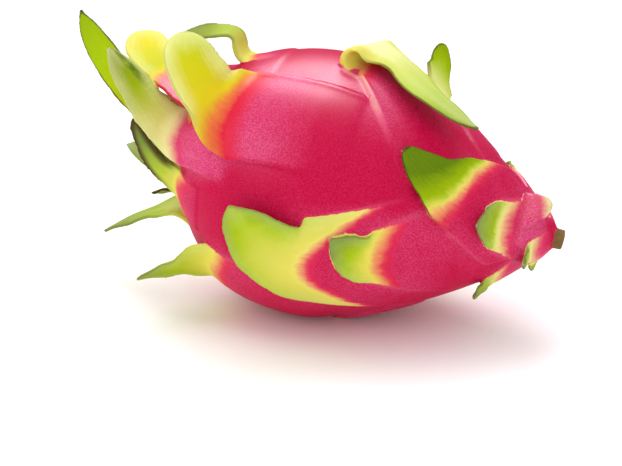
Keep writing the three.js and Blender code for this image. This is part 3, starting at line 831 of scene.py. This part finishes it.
class Signal:
    """A shader socket that sums can be written with."""

    def __init__(self, shader, socket):
        self.shader = shader
        self.socket = socket

    def math(self, operation, *values):
        """What a Math node makes of the values."""
        return self.shader.node(
            "ShaderNodeMath", dict(operation=operation), dict(enumerate(values)))

    def __add__(self, other):
        return self.math("ADD", self, other)

    def __sub__(self, other):
        return self.math("SUBTRACT", self, other)

    def __rsub__(self, other):
        return self.math("SUBTRACT", other, self)

    def __mul__(self, other):
        return self.math("MULTIPLY", self, other)

    def __truediv__(self, other):
        return self.math("DIVIDE", self, other)

    def __rtruediv__(self, other):
        return self.math("DIVIDE", other, self)

    def __abs__(self):
        return self.math("ABSOLUTE", self)

    __radd__ = __add__
    __rmul__ = __mul__

    def at_most(self, other):
        """The smaller of the two."""
        return self.math("MINIMUM", self, other)

    def clamped(self):
        """Kept between 0 and 1."""
        return self.math("MAXIMUM", self.at_most(1.0), 0.0)


class Shader:
    """A material's nodes, made one after another."""

    def __init__(self, name):
        self.material = bpy.data.materials.new(name)
        self.material.use_nodes = True
        self.tree = self.material.node_tree
        self.tree.nodes.clear()

    def node(self, kind, settings=None, sockets=None, output=0):
        """Adds a node, sets it, feeds its sockets and returns one of its outputs."""
        made = self.tree.nodes.new(kind)
        for name, value in (settings or {}).items():
            if name == "stops":
                self.set_stops(made.color_ramp, value)
            else:
                setattr(made, name, value)
        for key, value in (sockets or {}).items():
            if isinstance(value, Signal):
                self.tree.links.new(value.socket, made.inputs[key])
            else:
                made.inputs[key].default_value = value
        return Signal(self, made.outputs[output]) if made.outputs else made

    @staticmethod
    def set_stops(ramp, stops):
        """Gives a colour ramp its stops."""
        while len(ramp.elements) < len(stops):
            ramp.elements.new(0.5)
        for element, (position, tint) in zip(ramp.elements, stops):
            element.position = position
            element.color = (*tint, 1)

    def carried(self, name):
        """What the rind's points carry under a name."""
        return self.node("ShaderNodeAttribute", dict(attribute_name=name), output="Fac")

    def noise(self, place, scale, detail, roughness):
        """A noise's value at a place."""
        return self.node(
            "ShaderNodeTexNoise", sockets={
                "Vector": place, "Scale": scale, "Detail": detail, "Roughness": roughness},
            output="Fac")

    def rise(self, value, low, high, to_low=0.0, to_high=1.0):
        """An even rise from one value to another while the input goes from low to high."""
        return self.node(
            "ShaderNodeMapRange", dict(interpolation_type="SMOOTHSTEP"), {
                "Value": value, "From Min": low, "From Max": high,
                "To Min": to_low, "To Max": to_high})

    def mix(self, factor, a, b):
        """Two colours mixed."""
        a, b = (x if isinstance(x, Signal) else (*x, 1) for x in (a, b))
        return self.node(
            "ShaderNodeMix", dict(data_type="RGBA"), {0: factor, 6: a, 7: b}, output=2)

    def ramp(self, factor, finish, stops):
        """A run of a finish's colours, given as (place, name of the colour)."""
        stops = [(place, getattr(finish, name)) for place, name in stops]
        return self.node(
            "ShaderNodeValToRGB", dict(stops=stops), {"Fac": factor}, output="Color")


def total(on, shares, *start):
    """Signals added up, each by its share, after what they are added to."""
    return reduce(add, (*start, *(getattr(on, name) * share for name, share in shares.items())))


def rind_signals(s):
    """All that the rind's colours follow: what its points carry, noises, and what these give."""
    on = SimpleNamespace(**{name: s.carried(name) for name in SHOWN})
    place = s.node("ShaderNodeTexCoord", output="Object")
    for name, cells in NOISES.items():
        setattr(on, name, s.noise(place, *cells))
    lanes = s.node("ShaderNodeCombineXYZ", sockets={
        "X": on.across * STREAKS_ACROSS + on.tone * SCALES_APART[0],
        "Y": on.run * STREAKS_ALONG,
        "Z": on.tone * SCALES_APART[1]})
    on.streak = s.noise(lanes, *STREAKS)
    on.mottled, on.streaked = on.mottle - 0.5, on.streak - 0.5
    on.patches, on.speckle = s.rise(on.broad, *PATCHES), s.rise(on.grain, *SPECKLES)
    on.vein = s.rise(on.streak, *VEIN) * s.rise(on.along, *VEIN_ALONG)

    # the colours run along a scale, with the margins ahead of the middle
    ahead = total(on, UNEVEN, on.run + on.across * (on.across * on.lead + on.slant))
    on.ripe = (ahead - on.yellow) / on.change + 0.5
    on.grown = (ahead - on.yellow) / (on.green - on.yellow) + on.unripe

    rims = on.edge + on.mottled * WORN_UNEVEN
    worn = s.rise(rims, on.rim * WORN[0], on.rim * WORN[1], 1.0, 0.0)
    on.worn = worn * s.rise(on.along, *WORN_ALONG)
    on.cut = s.rise(on.inner, *CUT)
    return on


def skin_tint(s, on, finish):
    """Crimson, pinker by blades and margins (bloom and painted sheen), with a fine pale grain."""
    bloom_and_sheen = (total(on, BLOOM_AND_SHEEN) - BLOOM_AND_SHEEN_LESS).clamped()
    tint = s.mix(bloom_and_sheen, finish.crimson, finish.rose)
    tint = s.mix(on.speckle * SPECKLED, tint, finish.rose)
    # pale speckles where the bloom is, which also paint the grain of the frosted sheen
    return s.mix(on.speckle * bloom_and_sheen * BLOOM_AND_SHEEN_SPECKLED, tint, finish.bloom_and_sheen)


def scale_tint(s, on, finish, skin):
    """The run of colours along a scale, from the skin to the blade's green."""
    blush = s.mix(s.rise(on.ripe, *BLUSH), finish.rose, finish.cream)
    change = s.mix(on.warm, blush, s.ramp(on.ripe, finish, CHANGE))
    leaf = s.ramp(on.grown, finish, RIPENING)
    leaf = s.mix((1 - on.warm) * s.rise(on.grown, *PALE_START), leaf, finish.cream)
    blade = s.mix(s.rise(on.ripe, *TO_BLADE), change, leaf)
    return s.mix(s.rise(on.ripe, *OFF_SKIN), skin, blade)


def marked_tint(s, on, finish, tint):
    """The paler inner side, the blade's pale fringe, its stain and its veins."""
    under = on.inner.at_most(1.0) * on.pale * s.rise(abs(on.across), *INNER_ACROSS)
    under = under * s.rise(on.run, *INNER_ALONG)
    tint = s.mix(under * s.rise(on.ripe, *INNER_CHANGE), tint, finish.cream)
    fringe = s.rise(total(on, FRINGE_UNEVEN, on.edge), *FRINGE) * on.fringe
    tint = s.mix(fringe * s.rise(on.ripe, *FRINGE_CHANGE) * FRINGED, tint, finish.cream)
    stain = s.rise(abs(on.across + STAIN_MIDDLE), *STAIN_ACROSS) * s.rise(on.along, *STAIN_ALONG)
    tint = s.mix(stain * on.stain * s.rise(on.mottle, *STAIN_MOTTLE), tint, finish.leaf)
    return s.mix(on.vein * VEINED, tint, finish.lemon)


def margin_tint(s, on, finish, tint):
    """The pads' raised margins, creamy by the blade, the blades' dry ones, and the cut stem."""
    ridge = s.rise(on.gap + on.mottled * RIDGE_UNEVEN, *RIDGE) * on.crest * on.crest
    raised = s.mix(s.rise(on.crest, *RIDGE_CREAM), finish.ridge, finish.cream)
    tint = s.mix(ridge * s.rise(on.ripe, *RIDGE_CHANGE), tint, raised)
    tint = s.mix(on.worn * on.dry, tint, finish.husk)
    return s.mix(on.cut, tint, s.mix(on.mottle, finish.husk, finish.fibre))


def rind_material(finish):
    """The rind: speckled crimson skin whose scales turn scarlet, yellow and green."""
    s = Shader("rind")
    on = rind_signals(s)
    tint = scale_tint(s, on, finish, skin_tint(s, on, finish))
    tint = margin_tint(s, on, finish, marked_tint(s, on, finish, tint))
    gloss = s.rise(on.ripe, *GLOSSY_SKIN) * SKIN_GLOSS + BLADE_GLOSS
    bumps = s.node(
        "ShaderNodeBump", sockets={**BUMP, "Height": total(on, HEIGHTS)}, output="Normal")
    surface = s.node("ShaderNodeBsdfPrincipled", sockets={
        **FLESH,
        "Base Color": tint,
        "Roughness": total(on, ROUGHER, finish.roughness),
        "Normal": bumps,
        "Coat Weight": gloss * (1 - on.cut),
        "Coat Roughness": finish.gloss_roughness})
    s.node("ShaderNodeOutputMaterial", sockets={"Surface": surface})
    return s.material


def floor_material(tint):
    """Plain matt white."""
    s = Shader("floor")
    surface = s.node(
        "ShaderNodeBsdfPrincipled", sockets={**FLOOR_FINISH, "Base Color": (*tint, 1)})
    s.node("ShaderNodeOutputMaterial", sockets={"Surface": surface})
    return s.material


# ---- operators ----


class DRAGONFRUIT_OT_fruit(bpy.types.Operator):
    """Grow the whole fruit in place of its solid"""

    bl_idname = "dragonfruit.fruit"
    bl_label = "Grow the fruit"

    def execute(self, context):
        shape = context.scene.fruit_shape
        body = Body(shape)
        points, faces, growth, margins = grown_parts(body)
        fruit = mesh_object("whole_fruit", points * MM, faces)
        fuse(fruit, shape)
        carry_growth(fruit, fit_to_solid(fruit) / MM, points, faces, growth, margins)
        fruit.data.shade_smooth()
        fruit.data.materials.clear()
        fruit.data.materials.append(rind_material(context.scene.rind_finish))
        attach(fruit, "root")
        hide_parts(NODE)
        return {"FINISHED"}


class DRAGONFRUIT_OT_stage(bpy.types.Operator):
    """Lay the floor, hang the lights and place the camera"""

    bl_idname = "dragonfruit.stage"
    bl_label = "Set the stage"

    def execute(self, context):
        studio = context.scene.studio
        corners = FLOOR_HALF * np.array([(-1, -1, 0), (1, -1, 0), (1, 1, 0), (-1, 1, 0)])
        floor = mesh_object("floor", corners, [(0, 1, 2, 3)])
        floor.data.materials.append(floor_material(studio.floor))
        for name, light in LIGHTS.items():
            hang_light(name, studio, **light)
        surroundings(studio.sky)
        place_camera(context.scene, studio)
        context.scene.view_settings.view_transform = "Standard"
        return {"FINISHED"}


def hang_light(name, studio, power, size, place, share=1):
    """A square soft light that points at the fruit, or one that only shows as a sheen on it."""
    light = bpy.data.lights.new(name, "AREA")
    light.energy, light.size = getattr(studio, power) * share, size
    lamp = bpy.data.objects.new(name, light)
    sheen = power == "sheen_power"
    if sheen:
        light.color = studio.sheen_tint
    lamp.visible_camera = False
    lamp.visible_diffuse = not sheen
    lamp.visible_glossy = sheen
    lamp.location = place
    toward = Vector(FRUIT_MIDDLE) - lamp.location
    lamp.rotation_euler = toward.to_track_quat("-Z", "Y").to_euler()
    bpy.context.scene.collection.objects.link(lamp)


def surroundings(brightness):
    """Even white all round."""
    world = bpy.data.worlds.new("studio")
    world.use_nodes = True
    background = world.node_tree.nodes["Background"]
    background.inputs["Color"].default_value = (1, 1, 1, 1)
    background.inputs["Strength"].default_value = brightness
    world.cycles_visibility.glossy = False
    bpy.context.scene.world = world


def place_camera(scene, studio):
    """A camera that looks down at the fruit from the front, a little to the right."""
    turn, climb = studio.azimuth, studio.elevation
    back = Vector((
        math.sin(turn) * math.cos(climb), -math.cos(turn) * math.cos(climb), math.sin(climb)))
    right = Vector((math.cos(turn), math.sin(turn), 0))
    up = back.cross(right)
    camera = bpy.data.cameras.new("camera")
    camera.lens = studio.lens
    camera.clip_start = NEAREST_SEEN
    eye = bpy.data.objects.new("camera", camera)
    place = Vector(studio.aim) + back * studio.distance
    eye.matrix_world = Matrix((right, up, back)).transposed().to_4x4()
    eye.location = place
    scene.collection.objects.link(eye)
    scene.camera = eye


class DRAGONFRUIT_PT_panel(bpy.types.Panel):
    """The fruit's sizes and colours, and its operators"""

    bl_idname = "DRAGONFRUIT_PT_panel"
    bl_label = "Dragon Fruit"
    bl_space_type = "VIEW_3D"
    bl_region_type = "UI"
    bl_category = "Dragon Fruit"

    def draw(self, context):
        for name in GROUPS:
            group = getattr(context.scene, name)
            box = self.layout.box()
            for key in group.__annotations__:
                box.prop(group, key)
        for operator in OPERATORS:
            self.layout.operator(operator.bl_idname)


GROUPS = {"fruit_shape": FruitShape, "rind_finish": RindFinish, "studio": Studio}
OPERATORS = (DRAGONFRUIT_OT_fruit, DRAGONFRUIT_OT_stage)
CLASSES = (*GROUPS.values(), *OPERATORS, DRAGONFRUIT_PT_panel)


def register():
    for cls in CLASSES:
        bpy.utils.register_class(cls)
    for name, group in GROUPS.items():
        setattr(bpy.types.Scene, name, PointerProperty(type=group))


def unregister():
    for name in GROUPS:
        delattr(bpy.types.Scene, name)
    for cls in reversed(CLASSES):
        bpy.utils.unregister_class(cls)


def main():
    """Registers the classes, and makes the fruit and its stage."""
    register()
    bpy.ops.dragonfruit.fruit()
    bpy.ops.dragonfruit.stage()


if __name__ == "__main__":
    main()
